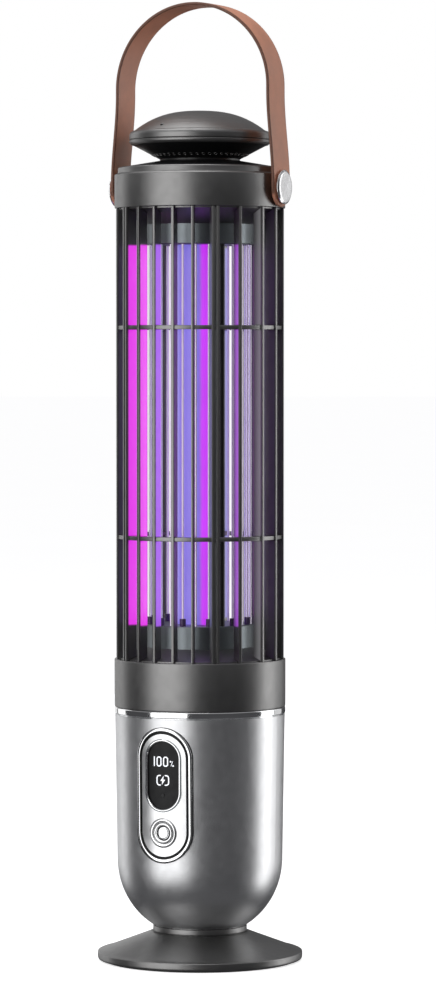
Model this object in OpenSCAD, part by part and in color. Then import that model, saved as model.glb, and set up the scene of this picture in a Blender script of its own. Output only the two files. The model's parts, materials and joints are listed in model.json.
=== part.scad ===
// Portable electric bug zapper: lit high-voltage grid in a finned cage, on a round foot.
// Origin at the centre of the underside, +Z up, control panel facing -Y, handle pivots on X.

/* [Foot] */
// Radius of the foot disc
foot_r = 50; // [47:0.5:54]
// Height of the upright rim of the foot
foot_rim_h = 4.5; // [3.5:0.1:5]
// Height of the foot at its centre
foot_h = 14; // [13:0.1:14.6]
// Depth that the rubber pad stands below the foot
pad_proud = 0.8; // [0.4:0.1:1.2]

/* [Body] */
// Height of the underside of the body
body_z0 = 17.6; // [17.2:0.1:18]
// Height of the top edge of the body
body_z1 = 120.4; // [119.4:0.1:120.6]
// Radius of the body where the bowl starts
body_r = 40.4; // [40:0.1:40.8]
// Radius of the body at its top edge
body_top_r = 41.4; // [41:0.1:41.6]
// Thickness of the body's wall
wall = 1.8; // [1.5:0.1:2]

/* [Cage] */
// Height of the top edge of the lower collar
cage_z0 = 147.5; // [146.5:0.5:148]
// Height of the underside of the upper collar
cage_z1 = 366.4; // [364:0.1:368]
// Outer radius of the fins
fin_r1 = 41.2; // [40.8:0.1:41.3]
// Inner radius of the fins
fin_r0 = 35.4; // [34.8:0.1:35.6]
// Thickness of a fin
fin_t = 1.4; // [1:0.1:1.8]
// Width of a post
post_w = 3.8; // [3.4:0.1:4.4]
// Heights of the two tie rings
ring_z = [206.9, 308.5]; // [190:0.1:330]

/* [Grid] */
// Radius of the circle that the rods stand on
rod_circle_r = 24.5; // [24:0.1:24.5]
// Number of live rods, and of places for return rods
rod_n = 12; // [8:1:12]
// Radius of a rod
rod_r = 0.6; // [0.5:0.05:0.7]
// Outer radius of the lamp tube
lamp_r = 11; // [9.5:0.5:12]
// Radius of the drums that hold the rods
drum_r = 26.2; // [26:0.1:27]

/* [Top] */
// Height of the stepped rim of the upper collar
top_z = 386.2; // [385:0.1:388]
// Radius of the cap's rim
cap_r = 34.3; // [33:0.1:35]
// Height of the top of the dome
dome_z = 413.7; // [412:0.1:415]

/* [Handle] */
// Height of the handle's pivots
pivot_z = 376; // [375:0.5:377]
// Outer radius of the strap's arch
strap_r = 41.2; // [40.8:0.1:42]
// Height of the centre of the arch
arch_z = 424.7; // [424:0.1:430]
// Width of the strap
strap_w = 19; // [17:0.5:20]
// Thickness of the strap
strap_t = 1.6; // [1.4:0.1:1.7]

/* [Panel] */
// Height of the middle of the panel
panel_z = 84; // [83.5:0.1:84.2]
// Width and height of the bezel
bezel = [29.2, 64.8]; // [28:0.1:66]
// Height of the middle of the display
display_z = 93.6; // [93:0.1:94]
// Width and height of the display
display = [16.6, 32.8]; // [16:0.1:34]
// Height of the power button
button_z = 65.9; // [65.5:0.1:66.2]
// Radius of the power button
button_r = 4.9; // [4.5:0.1:4.9]

/* [Hidden] */

$fn = 96;
gap = 0.05;             // clearance between parts that are fixed together

dark = "#4a4c4e";
silver = "#b9bcbf";
black = "#141416";
steel = "#c8cacd";
tan = "#8f5e4e";
board_green = "#1f4d33";

// Body outline
bowl_top = 50;
bowl_depth = 38.9;
bowl_power = 2.1;
draft_z = 56;
draft = (body_top_r - body_r) / (body_z1 - draft_z);

// Neck and foot
neck_r = 22.9;
cone_top_r = 24;
pad_r = [38, 47];
pad_seat = 2;
foot_screw_r = 14;
foot_screw_top = 26;

// Collars and decks
collar_r = 41.7;
upper_collar_r = 41.5;
collar_wall = 2;
collar_z0 = 124.2;
spigot_z = 116.6;        // lower end of the lower collar's spigot inside the body
deck_r = 39.6;
deck_t = 2;
deck_bore_r = 22.05;
cone_r = 41;
low_cone_z = 153.3;
high_cone_z = 358.5;
low_slope = (low_cone_z - cage_z0) / (cone_r - drum_r);
high_slope = (cage_z1 - high_cone_z) / (cone_r - drum_r);
holder_z0 = 164.4;      // top face of the lower rod holder
holder_z1 = 348.6;      // underside of the upper rod holder
holder_t = 5;
seat = 2;               // depth of the lamp's and the conduit's seats
blind = 3;

// Cage
front_fins = [7.1, 20.8];
side_fins = [54, 73.5, 90, 106.5, 126];
fin_angles = concat(
    [for (a = front_fins, s = [-1, 1], back = [0, 180]) back + s * a],
    [for (a = side_fins, s = [-1, 1]) s * a]);
post_angle = 36.3;
post_angles = [post_angle, -post_angle, 180 - post_angle, 180 + post_angle];
post_groove = [0.9, 1.3];
ring_r = [35.6, 40.4];
ring_h = 2;
post_screw_c = 37;
ledge_r = 38.8;          // inner radius of the ledges that hold the decks
seat_z = [146, 367.9];   // heights of those ledges
post_screw_len = 12;

// Grid
live_a0 = 6;
return_a0 = 21;
conduit_k = 1;          // the conduit stands in this return place
conduit_r = 1.6;
conduit_c = 24.2;
insulator_r = 1.5;
insulator_z = 168;
contact_r = [22.6, 25.1];
lamp_wall = 1.2;
lamp_board_w = 8;
lamp_rows = 13;

// Cap
rim_z0 = 397;
rim_z1 = 404;
rim_groove_z = 399.5;
dome_r = 31.9;
dome_power = 2.6;
dome_t = 1.5;
sensor_board_z = 398.6;
sensor_top = rim_z1 + dome_rise(29 / dome_r) - 0.1;

// Handle
boss_x = 41.9;
strap_x = 42.4;         // inner face of the strap at its pivots
pin_r = 2;
eyelet_r = 3;
snap_r = 8.3;
snap_x = [44.6, 46.1];
flare_s = [2, 46];      // stretch above the pivot over which a leg bends inwards

// Panel
rim_w = 1.6;
gasket_w = 1.3;
lap_w = 1.1;             // how far the bezel laps over the edge of the opening in the body
bezel_proud = 1.0;
plate_proud = 0.5;
plate_w = bezel.x - 2 * (rim_w + gasket_w);
plate_h = bezel.y - 2 * (rim_w + gasket_w);
ring_y = 41.35;         // front of the button ring
band_z = [43, 120];     // stretch of the body's outline that the panel follows
panel_screw_z = [panel_z - 27.65, panel_z + 27.95];
digit = [2.6, 5];
bar = 0.65;             // stroke of a figure
board = [21, 1.6, 60];
board_y = -34.6;

// Cells
cell_r = 9.2;
cell_x = 9.6;
cell_y = 8;
cell_z = [30, 94];

// USB opening
usb_z = 60;
usb_slot = [10.5, 4.6];
hinge_z = 66;
hinge_y = 41.9;

function line_r(z) = body_r + draft * (z - draft_z);
function bowl(z) = z >= bowl_top ? 1 : pow(1 - pow((bowl_top - z) / bowl_depth, bowl_power), 1 / bowl_power);
function body_at(z) = line_r(z) * bowl(z);
function low_cone(r) = cage_z0 + (cone_r - r) * low_slope;
function high_cone(r) = cage_z1 - (cone_r - r) * high_slope;
function smooth(t) = t <= 0 ? 0 : t >= 1 ? 1 : t * t * (3 - 2 * t);

// Places a child at angle a, measured from the front (-Y) towards +X
module at_angle(a) rotate([0, 0, a - 90]) children();
// Drills or stands a child on each of three screw places
module three(r) for (a = [90, 210, 330]) rotate([0, 0, a]) translate([r, 0, 0]) children();
module ring(r0, r1, z0, z1) translate([0, 0, z0]) difference() {
    cylinder(r = r1, h = z1 - z0);
    translate([0, 0, -1]) cylinder(r = r0, h = z1 - z0 + 2);
}
module rod(r, z0, z1) translate([0, 0, z0]) cylinder(r = r, h = z1 - z0);

// Solid of revolution between two offsets of the body's outline
module body_band(inner, outer, z0, z1) {
    heights = concat(
        [for (z = [z0 : 2.5 : min(bowl_top, z1) - 1]) z],
        z1 > bowl_top ? [bowl_top, z1] : [z1]);
    rotate_extrude() polygon(concat(
        [for (z = heights) [body_at(z) + outer, z]],
        [for (i = [len(heights) - 1 : -1 : 0]) [body_at(heights[i]) + inner, heights[i]]]));
}
module oval_face(w, h) {
    square([w, h - w], center = true);
    for (s = [-1, 1]) translate([0, s * (h - w) / 2]) circle(d = w);
}
// Upright oval prism that reaches from the front inwards
module oval(w, h, zc) rotate([90, 0, 0]) linear_extrude(60) translate([0, zc]) oval_face(w, h);
module oval_ring(w, h, zc, t) rotate([90, 0, 0]) linear_extrude(60) translate([0, zc]) difference() {
    oval_face(w, h);
    oval_face(w - 2 * t, h - 2 * t);
}
// Piece of the panel: an oval cut from a band that follows the body
module panel_band(inner, outer) intersection() {
    body_band(inner, outer, band_z[0], band_z[1]);
    children();
}

module base_foot() color(dark) difference() {
    rotate_extrude() polygon(concat(
        [[0, pad_proud], [foot_r - 1, pad_proud], [foot_r, pad_proud + 1]],
        [for (t = [0 : 22.5 : 90]) [foot_r - 1.2 * (1 - cos(t)), foot_rim_h - 1.2 + 1.2 * sin(t)]],
        [[cone_top_r, foot_h], [0, foot_h]]));
    ring(pad_r[0] - gap, pad_r[1] + gap, -1, pad_seat);
    three(foot_screw_r) {
        rod(1.6, 0, foot_h + 1);
        rod(3.3, 0, 5.5);
    }
}
module foot_pad() color(black) ring(pad_r[0], pad_r[1], 0, pad_seat);
module foot_screws() color(steel) three(foot_screw_r) {
    rod(1.5, 5, foot_screw_top);
    difference() {
        rod(2.9, 3.2, 5.5);
        rod(1.3, 3, 4.4, $fn = 6);
    }
}
module neck_ring() color(dark) difference() {
    rotate_extrude() polygon([
        [6, foot_h], [neck_r - 0.5, foot_h], [neck_r, foot_h + 0.5],
        [neck_r, body_z0 - 0.6], [neck_r - 0.6, body_z0], [6, body_z0]]);
    three(foot_screw_r) rod(1.6, foot_h - 1, body_z0 + 1);
}

module body_shell() {
    floor_z = body_z0 + 3;
    outer = [for (z = [body_z0 : 1.5 : bowl_top]) z];
    inner = [for (z = [floor_z + 0.5 : 3 : bowl_top]) z];
    color(silver) difference() {
        union() {
            rotate_extrude() polygon(concat(
                [[0, body_z0]], [for (z = outer) [body_at(z), z]],
                [[body_top_r, body_z1], [body_top_r - wall, body_z1]],
                [for (i = [len(inner) - 1 : -1 : 0]) [body_at(inner[i]) - wall, inner[i]]],
                [[0, floor_z]]));
            three(foot_screw_r) rod(4, body_z0 + 1, 28);
        }
        three(foot_screw_r) rod(1.52, body_z0 - 1, foot_screw_top + 0.5);
        oval(bezel.x - 2 * lap_w, bezel.y - 2 * lap_w, panel_z);
        usb_slot_cut(usb_slot.x, usb_slot.y);
    }
}
module usb_slot_cut(w, h) translate([0, 60, usb_z]) rotate([90, 0, 0]) linear_extrude(30) {
    square([w - h, h], center = true);
    for (s = [-1, 1]) translate([s * (w - h) / 2, 0]) circle(d = h);
}
module trim_ring() color(steel) rotate_extrude() polygon([
    [39.4, body_z1], [41.0, body_z1], [41.0, body_z1 + 0.5], [41.65, body_z1 + 0.8],
    [41.65, collar_z0 - 0.3], [41.35, collar_z0], [39.4, collar_z0]]);

module lower_collar() color(dark) rotate_extrude() polygon([
    [37.4, spigot_z], [39.35, spigot_z], [39.35, collar_z0], [collar_r - 0.3, collar_z0],
    [collar_r, collar_z0 + 0.3], [collar_r, cage_z0 - 0.3], [collar_r - 0.3, cage_z0],
    [collar_r - collar_wall, cage_z0], [collar_r - collar_wall, seat_z[0]], [ledge_r, seat_z[0]],
    [ledge_r, seat_z[0] - 1.2],
    [collar_r - collar_wall, 142], [collar_r - collar_wall, collar_z0 + 4], [37.4, collar_z0 + 1]]);
module lower_deck() color(dark) difference() {
    union() {
        rotate_extrude() polygon([
            [deck_bore_r, low_cone_z], [drum_r, low_cone_z], [deck_r, low_cone(deck_r)], [deck_r, seat_z[0]],
            [38, seat_z[0]], [25, low_cone_z - deck_t], [deck_bore_r, low_cone_z - deck_t]]);
        for (a = post_angles) at_angle(a) translate([post_screw_c, 0, 0]) rod(1.9, seat_z[0], seat_z[0] + 2.1);
    }
    for (a = post_angles) at_angle(a) translate([post_screw_c, 0, 0]) rod(1.1, 140, 155);
}
module upper_deck() color(dark) difference() {
    union() {
        rotate_extrude() polygon([
            [deck_bore_r, high_cone_z], [drum_r, high_cone_z], [deck_r, high_cone(deck_r)], [deck_r, seat_z[1]],
            [38, seat_z[1]], [25, high_cone_z + deck_t], [deck_bore_r, high_cone_z + deck_t]]);
        for (a = post_angles) at_angle(a) translate([post_screw_c, 0, 0]) rod(1.9, seat_z[1] - 2.5, seat_z[1]);
    }
    for (a = post_angles) at_angle(a) translate([post_screw_c, 0, 0]) rod(1.1, 355, 375);
}

// Rod holder standing on z = 0 with its plate's outer face at height h, spigot below
module rod_holder(h, live_through) difference() {
    rotate_extrude() polygon([
        [drum_r, 0], [drum_r, h - 0.5], [drum_r - 0.5, h], [lamp_r + gap, h], [lamp_r + gap, h - seat],
        [6, h - seat], [6, h - holder_t], [contact_r[1] + gap, h - holder_t],
        [contact_r[1] + gap, h - holder_t - 1.05], [24.2, h - holder_t - 1.05], [24.2, 2], [20.2, 2],
        [20.2, -3], [22, -3], [22, 0]]);
    for (k = [0 : rod_n - 1]) {
        at_angle(live_a0 + k * 360 / rod_n) translate([rod_circle_r, 0, 0])
            rod(rod_r + 0.02, live_through ? 0 : h - blind, h + 1);
        if (live_through) at_angle(live_a0 + k * 360 / rod_n) translate([rod_circle_r, 0, 0])
            rod(insulator_r + 0.02, h - blind, h + 1);
        if (k != conduit_k) at_angle(return_a0 + k * 360 / rod_n) translate([rod_circle_r, 0, 0])
            rod(rod_r + 0.02, live_through ? h - blind : 0, h + 1);
    }
    at_angle(return_a0 + conduit_k * 360 / rod_n) translate([conduit_c, 0, 0]) {
        rod(conduit_r + 0.02, h - seat, h + 1);
        rod(1, 0, h + 1);
    }
}
module rod_holder_lower() color(dark) translate([0, 0, low_cone_z]) rod_holder(holder_z0 - low_cone_z, true);
module rod_holder_upper() color(dark) translate([0, 0, high_cone_z]) mirror([0, 0, 1])
    rod_holder(high_cone_z - holder_z1, false);

// Outline of a fin or post, radius along X and height along Y, notched for the tie rings
module fin_outline() difference() {
    polygon([
        [fin_r1, cage_z0], [deck_r + 0.15, cage_z0], [deck_r + 0.15, low_cone(deck_r) + gap],
        [fin_r0, low_cone(fin_r0) + gap], [fin_r0, high_cone(fin_r0) - gap],
        [deck_r + 0.15, high_cone(deck_r) - gap], [deck_r + 0.15, cage_z1], [fin_r1, cage_z1]]);
    for (z = ring_z) translate([0, z - ring_h / 2 - 0.03]) square([ring_r[1] + 0.03, ring_h + 0.06]);
}
module blade(t) rotate([90, 0, 0]) linear_extrude(t, center = true) fin_outline();
module cage_fins() color(dark) for (a = fin_angles) at_angle(a) blade(fin_t);
module cage_posts() color(dark) for (a = post_angles) at_angle(a) difference() {
    blade(post_w);
    translate([fin_r1 - post_groove[1], -post_groove[0] / 2, 0]) cube([5, post_groove[0], 400]);
    for (z = [cage_z0, cage_z1 - post_screw_len])
        translate([post_screw_c, 0, 0]) rod(0.92, z - 1, z + post_screw_len + 1);
}
module cage_rings() color(dark) for (z = ring_z) ring(ring_r[0], ring_r[1], z - ring_h / 2, z + ring_h / 2);
module post_screw() {
    rod(0.9, 0, 14);
    rod(1.7, -1.6, 0);
}
module post_screws() color(steel) for (a = post_angles) at_angle(a) translate([post_screw_c, 0, 0]) {
    translate([0, 0, seat_z[0]]) post_screw();
    translate([0, 0, seat_z[1]]) mirror([0, 0, 1]) post_screw();
}

module upper_collar() color(dark) difference() {
    union() {
        rotate_extrude() polygon([
            [deck_r + gap, cage_z1], [upper_collar_r - 0.3, cage_z1], [upper_collar_r, cage_z1 + 0.3],
            [upper_collar_r, 382.4], [upper_collar_r - 0.6, 383], [39.9, 383.2], [39.8, 385.7],
            [39.3, top_z], [38.1, top_z], [38.1, 385], [36, 385], [36, 383.6], [deck_r, 382],
            [deck_r, seat_z[1] + 2.1], [ledge_r, seat_z[1] + 1.5], [ledge_r, seat_z[1]],
            [deck_r + gap, seat_z[1]]]);
        for (s = [0, 180]) rotate([0, 0, s]) translate([37, 0, pivot_z]) rotate([0, 90, 0])
            cylinder(r = 5.5, h = boss_x - 37);
    }
    for (s = [0, 180]) rotate([0, 0, s]) translate([30, 0, pivot_z]) rotate([0, 90, 0])
        cylinder(r = pin_r + 0.02, h = 20);
}
module top_plate() color(black) difference() {
    rotate_extrude() polygon([
        [12, 389.4], [19.8, 389.4], [38.05, 386.3], [38.05, 385], [36, 385], [19.8, 387.6], [12, 387.6]]);
    three(15.5) rod(1.27, 380, 395);
}
module cap_cone() {
    hole_n = 48;
    hole_r = 0.7;
    color(black) difference() {
        rotate_extrude() polygon([
            [12, 389.4], [19.5, 389.4], [19.5, 390.2], [32.4, rim_z0], [29.8, rim_z0], [18.6, 391.2],
            [12, 391.2]]);
        three(15.5) rod(1.6, 380, 395);
        for (k = [0 : hole_n - 1]) rotate([0, 0, k * 360 / hole_n]) translate([22.9, 0, 392])
            rotate([0, 145, 0]) cylinder(r = hole_r, h = 8, center = true, $fn = 24);
    }
}
module cap_rim() color(dark) rotate_extrude() polygon([
    [29.8, rim_z0], [cap_r - 0.8, rim_z0], [cap_r - 0.2, rim_z0 + 0.5], [cap_r, rim_z0 + 1.2],
    [cap_r, rim_groove_z - 0.45], [cap_r - 0.35, rim_groove_z - 0.15], [cap_r - 0.35, rim_groove_z + 0.15],
    [cap_r, rim_groove_z + 0.45], [cap_r, rim_z1 - 2], [cap_r - 0.5, rim_z1 - 0.9],
    [cap_r - 1.3, rim_z1 - 0.25], [cap_r - 2.2, rim_z1], [31, rim_z1], [31, rim_z0 + 1.6],
    [29.8, rim_z0 + 1.6]]);
// Height of the dome's outer face above its rim, at a share t of its radius
function dome_rise(t) = (dome_z - rim_z1) * (1 - pow(t, dome_power));
module cap_dome() {
    steps = concat([for (t = [0 : 0.08 : 0.88]) t], [0.93, 0.97, 1]);
    last = len(steps) - 1;
    color(dark) difference() {
        union() {
            rotate_extrude() polygon(concat(
                [for (t = steps) [t * dome_r, rim_z1 + dome_rise(t)]],
                [for (i = [last - 3 : -1 : 0]) [steps[i] * dome_r, rim_z1 + dome_rise(steps[i]) - dome_t]]));
            ring(29.2, 30.95, sensor_board_z + 1.4, rim_z1 + 0.6);
        }
        sensor_place() rod(0.92, 395, 415);
    }
}
module sensor_place() at_angle(-13) translate([29.0, 0, 0]) children();
module cap_screws() color(steel) three(15.5) {
    rod(1.25, 384, 391.3);
    rod(2.6, 391.2, 393);
}
module light_sensor() color(black) sensor_place() rod(0.9, sensor_board_z + 1.2, sensor_top);
module sensor_board() color(board_green) difference() {
    rod(30.9, sensor_board_z, sensor_board_z + 1.2);
    rod(16, sensor_board_z - 1, sensor_board_z + 2);
}

module lamp_tube() color("#cfc4ff", 0.5) ring(lamp_r - lamp_wall, lamp_r, holder_z0 - seat, holder_z1 + seat);
module lamp_board() color("white") translate([0, 0, (holder_z0 + holder_z1) / 2]) difference() {
    cube([lamp_board_w, lamp_board_w, 194], center = true);
    cube([lamp_board_w - 3, lamp_board_w - 3, 200], center = true);
}
module lamp_chips() {
    pitch = (holder_z1 - holder_z0 - 16) / (lamp_rows - 1);
    color("#e8d8ff") for (side = [0 : 90 : 270], k = [0 : lamp_rows - 1])
        rotate([0, 0, side]) translate([lamp_board_w / 2, -1.4, holder_z0 + 8 + k * pitch - 1.75])
            cube([0.8, 2.8, 3.5]);
}
module live_rods() color(steel) for (k = [0 : rod_n - 1]) at_angle(live_a0 + k * 360 / rod_n)
    translate([rod_circle_r, 0, 0]) rod(rod_r, holder_z0 - holder_t, holder_z1 + blind - gap);
module return_rods() color(steel) for (k = [0 : rod_n - 1]) if (k != conduit_k)
    at_angle(return_a0 + k * 360 / rod_n) translate([rod_circle_r, 0, 0])
        rod(rod_r, holder_z0 - blind + gap, holder_z1 + holder_t);
module rod_insulators() color("#2c2438") for (k = [0 : rod_n - 1]) at_angle(live_a0 + k * 360 / rod_n)
    translate([rod_circle_r, 0, 0]) ring(rod_r + 0.02, insulator_r, holder_z0 - blind, insulator_z);
module contact_ring(z) color("#b58a3c") difference() {
    ring(contact_r[0], contact_r[1], z, z + 1);
    at_angle(return_a0 + conduit_k * 360 / rod_n) translate([conduit_c, 0, 0]) rod(1.8, z - 1, z + 2);
}
module live_ring() contact_ring(holder_z0 - holder_t - 1);
module return_ring() contact_ring(holder_z1 + holder_t);
module wire_conduit() color(black) at_angle(return_a0 + conduit_k * 360 / rod_n)
    translate([conduit_c, 0, 0]) ring(1, conduit_r, holder_z0 - seat, holder_z1 + seat);

// Outer face of a strap leg at distance s above the pivot
function leg_x(s) = strap_r + (strap_x + strap_t - strap_r) * (1 - smooth((s - flare_s[0]) / (flare_s[1] - flare_s[0])));
// Outline of the whole strap seen from the front, its outer face moved in by inset
module strap_outline(inset) {
    end_s = -strap_w / 2 - 1;
    top_s = arch_z - pivot_z;
    steps = concat([end_s], [for (s = [flare_s[0] : 2 : flare_s[1]]) s], [top_s]);
    leg = [for (s = steps) [leg_x(s) - inset, pivot_z + s]];
    arch = [for (t = [6 : 6 : 174]) [(strap_r - inset) * cos(t), arch_z + (strap_r - inset) * sin(t)]];
    polygon(concat(leg, arch, [for (i = [len(leg) - 1 : -1 : 0]) [-leg[i].x, leg[i].y]]));
}
module handle_strap() color(tan) difference() {
    intersection() {
        rotate([90, 0, 0]) linear_extrude(strap_w, center = true) difference() {
            strap_outline(0);
            translate([0, -1]) strap_outline(strap_t);
            strap_outline(strap_t);
        }
        rotate([90, 0, 90]) linear_extrude(120, center = true) {
            translate([0, pivot_z]) circle(d = strap_w);
            translate([-strap_w / 2, pivot_z]) square([strap_w, 120]);
        }
    }
    translate([0, 0, pivot_z]) rotate([0, 90, 0]) cylinder(r = eyelet_r + gap, h = 120, center = true);
}
// Turned piece on both pivots, lying along X from x0 to x1
module on_pivots(r0, r1, x0, x1) for (s = [0, 180]) rotate([0, 0, s]) translate([0, 0, pivot_z])
    rotate([0, 90, 0]) ring(r0, r1, x0, x1);
module strap_eyelets() color(steel) {
    on_pivots(pin_r + gap, eyelet_r, strap_x, strap_x + strap_t);
    on_pivots(pin_r + gap, 4.2, strap_x + strap_t, strap_x + strap_t + 0.3);
}
module strap_pins() color(steel) for (s = [0, 180]) rotate([0, 0, s]) translate([0, 0, pivot_z])
    rotate([0, 90, 0]) rod(pin_r, 33.6, snap_x[0] + 0.8);
module strap_snaps() color(steel) for (s = [0, 180]) rotate([0, 0, s]) translate([0, 0, pivot_z])
    rotate([0, 90, 0]) difference() {
        rotate_extrude() polygon([
            [0, snap_x[0]], [snap_r - 0.4, snap_x[0]], [snap_r, snap_x[0] + 0.4], [snap_r, snap_x[0] + 0.7],
            [snap_r - 0.8, snap_x[1] - 0.3], [snap_r * 0.6, snap_x[1]], [0, snap_x[1]]]);
        rod(pin_r + 0.02, snap_x[0] - 1, snap_x[0] + 0.8);
    }
module strap_washers() color("#303032") on_pivots(pin_r + gap, 5.3, boss_x, boss_x + 0.4);
module strap_nuts() color(steel) for (s = [0, 180]) rotate([0, 0, s]) translate([0, 0, pivot_z])
    rotate([0, 90, 0]) difference() {
        rod(3.9, 34.6, 37, $fn = 6);
        rod(pin_r + 0.02, 34, 38);
    }

module panel_bezel() color(silver) {
    panel_band(0.02, bezel_proud) oval_ring(bezel.x, bezel.y, panel_z, rim_w);
    panel_band(-wall, 0.5) oval_ring(
        bezel.x - 2 * (lap_w + gap), bezel.y - 2 * (lap_w + gap), panel_z, rim_w - lap_w - gap);
}
module panel_gasket() color(black) panel_band(-1.7, -0.4)
    oval_ring(plate_w + 2 * gasket_w - 2 * gap, plate_h + 2 * gasket_w - 2 * gap, panel_z, gasket_w - 2 * gap);
module panel_plate() color(silver) difference() {
    union() {
        panel_band(-wall - 0.4, plate_proud) oval(plate_w, plate_h, panel_z);
        panel_band(-3.2, -wall - 0.2) oval(bezel.x - 0.7, bezel.y - 0.9, panel_z);
        for (z = panel_screw_z) translate([0, -37, z]) rotate([-90, 0, 0]) cylinder(r = 1.7, h = 2.4);
    }
    oval(display.x, display.y, display_z);
    translate([0, -50, button_z]) rotate([-90, 0, 0]) cylinder(r = 7.15, h = 20);
    for (z = panel_screw_z) translate([0, -38.5, z]) rotate([-90, 0, 0]) cylinder(r = 0.82, h = 8);
}
module display_window() color(black) panel_band(-1.3, -0.1) oval(display.x - 0.1, display.y - 0.1, display_z);
module display_module() color("white") translate([-7, -38.2, display_z - 12]) cube([14, 3.5, 24]);

// Seven-segment figure made of bars, lower left corner at the origin
module zero() difference() {
    square(digit);
    translate([bar, bar]) square([digit.x - 2 * bar, digit.y - 2 * bar]);
}
module charge_sign() {
    difference() {
        square([6.8, 5.6], center = true);
        square([5.2, 4.0], center = true);
        for (s = [0, 180]) rotate(s) translate([0.9, 2.4]) square([1.4, 1.2], center = true);
    }
    polygon([[0.5, 1.6], [-1.1, -0.2], [0, -0.2], [-0.5, -1.6], [1.1, 0.2], [0, 0.2]]);
}
module display_segments() {
    digits_z = display_z + 4.2;
    sign_z = display_z - 2.3;
    color("white") panel_band(-0.08, 0.05) rotate([90, 0, 0]) linear_extrude(60) {
        translate([-5.0, digits_z]) square([bar, digit.y]);
        for (x = [-3.4, 0.1]) translate([x, digits_z]) zero();
        translate([3.6, digits_z]) for (p = [[0, 2.4], [1.4, 0]]) translate(p) square([0.8, 0.8]);
        translate([0, sign_z]) charge_sign();
    }
}

// Turned piece on the button's axis: outline in radius and depth, depth counted inwards from the front
module on_button(y0) translate([0, -y0, button_z]) rotate([-90, 0, 0]) rotate_extrude() children();
module button_ring() color(steel) on_button(ring_y)
    polygon([[5.15, 0.5], [5.5, 0.15], [6.3, 0], [6.9, 0.3], [7.1, 0.8], [7.1, 3.1], [5.15, 3.1]]);
module power_button() color(silver) on_button(ring_y) polygon([
    [0, 0.05], [1.6, 0.1], [2.7, 0.3], [3.1, 0.7], [3.5, 0.7], [3.8, 0.3], [4.5, 0.2], [button_r, 0.5],
    [button_r, 3.0], [1.4, 3.0], [1.4, 4.0], [0, 4.0]]);
module switch_plunger() color(black) on_button(ring_y) polygon([[0, 4.0], [1.2, 4.0], [1.2, 5.0], [0, 5.0]]);
module tact_switch() color(steel) difference() {
    translate([-3, -35.7, button_z - 3]) cube([6, 1.1, 6]);
    translate([0, -36, button_z]) rotate([-90, 0, 0]) cylinder(r = 1.4, h = 1.2);
}
module control_board() color(board_green) difference() {
    translate([-board.x / 2, board_y, panel_z - 29.75]) cube(board);
    for (z = panel_screw_z) translate([0, -36, z]) rotate([-90, 0, 0]) cylinder(r = 1.0, h = 4);
}
module board_screws() color(steel) for (z = panel_screw_z) translate([0, 0, z]) rotate([-90, 0, 0]) {
    rod(0.8, -38, -33);
    rod(1.6, -33, -32);
}

module battery_cells() color("#3b6ea5") for (s = [-1, 1]) translate([s * cell_x, cell_y, 0]) {
    rod(cell_r, cell_z[0], cell_z[1]);
    rod(3, cell_z[1], cell_z[1] + 1);
}
module battery_cradle() color("#26282b") {
    translate([-20, -3, 28]) cube([40, 22.5, 2]);
    translate([-20, 17.5, 30]) cube([40, 2, 86]);
    translate([-20, -1, 95.2]) cube([40, 18.5, 1.8]);
    for (x = [-8, 8], z = [51, 70]) translate([x, 19.5, z]) rotate([-90, 0, 0]) cylinder(r = 2, h = 11);
}
module hv_module() color("#1c1c20") translate([-18, -1, 97]) cube([36, 18.4, 18]);
module charge_board() color(board_green) translate([-11, 30.5, 47]) cube([22, 1.6, 27]);
module usb_socket() color(steel) difference() {
    translate([-4.5, 32.1, usb_z - 1.65]) cube([9, 6.4, 3.3]);
    translate([-4.1, 33.5, usb_z - 1.25]) cube([8.2, 6, 2.5]);
}
module usb_cover() color("#2a2a2c") {
    intersection() {
        body_band(0.35, 1.6, band_z[0], band_z[1]);
        translate([-7.5, 20, 54]) cube([15, 40, 10.3]);
    }
    translate([0, hinge_y, hinge_z]) rotate([0, 90, 0]) ring(0.5, 1.05, -3.4, 3.4);
    translate([-3.4, hinge_y - 0.9, hinge_z - 1.9]) cube([6.8, 0.9, 1.1]);
    intersection() {
        body_band(-0.6, 0.5, band_z[0], band_z[1]);
        usb_slot_cut(usb_slot.x - 0.9, usb_slot.y - 0.9);
    }
}
module usb_hinge_pin() color(steel) {
    translate([0, hinge_y, hinge_z]) rotate([0, 90, 0]) cylinder(r = 0.45, h = 11, center = true);
    for (s = [-1, 1]) translate([s * 4.6, 0, 0]) difference() {
        translate([-0.9, 38.9, hinge_z - 1.2]) cube([1.8, 4.1, 2.4]);
        body_band(-2, 0.02, band_z[0], band_z[1]);
    }
}

base_foot();
foot_pad();
foot_screws();
neck_ring();
body_shell();
trim_ring();
lower_collar();
lower_deck();
rod_holder_lower();
cage_fins();
cage_posts();
cage_rings();
post_screws();
rod_holder_upper();
upper_deck();
upper_collar();
top_plate();
cap_cone();
cap_rim();
cap_dome();
cap_screws();
light_sensor();
sensor_board();
lamp_tube();
lamp_board();
lamp_chips();
live_rods();
return_rods();
rod_insulators();
live_ring();
return_ring();
wire_conduit();
handle_strap();
strap_eyelets();
strap_pins();
strap_snaps();
strap_washers();
strap_nuts();
panel_bezel();
panel_gasket();
panel_plate();
display_window();
display_segments();
display_module();
button_ring();
power_button();
tact_switch();
switch_plunger();
control_board();
board_screws();
battery_cells();
battery_cradle();
hv_module();
charge_board();
usb_socket();
usb_cover();
usb_hinge_pin();
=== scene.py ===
"""Electric bug zapper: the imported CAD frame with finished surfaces, lit lamp, strap and studio."""

import json
import math

import bmesh
import bpy
from mathutils import Matrix, Vector

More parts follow.
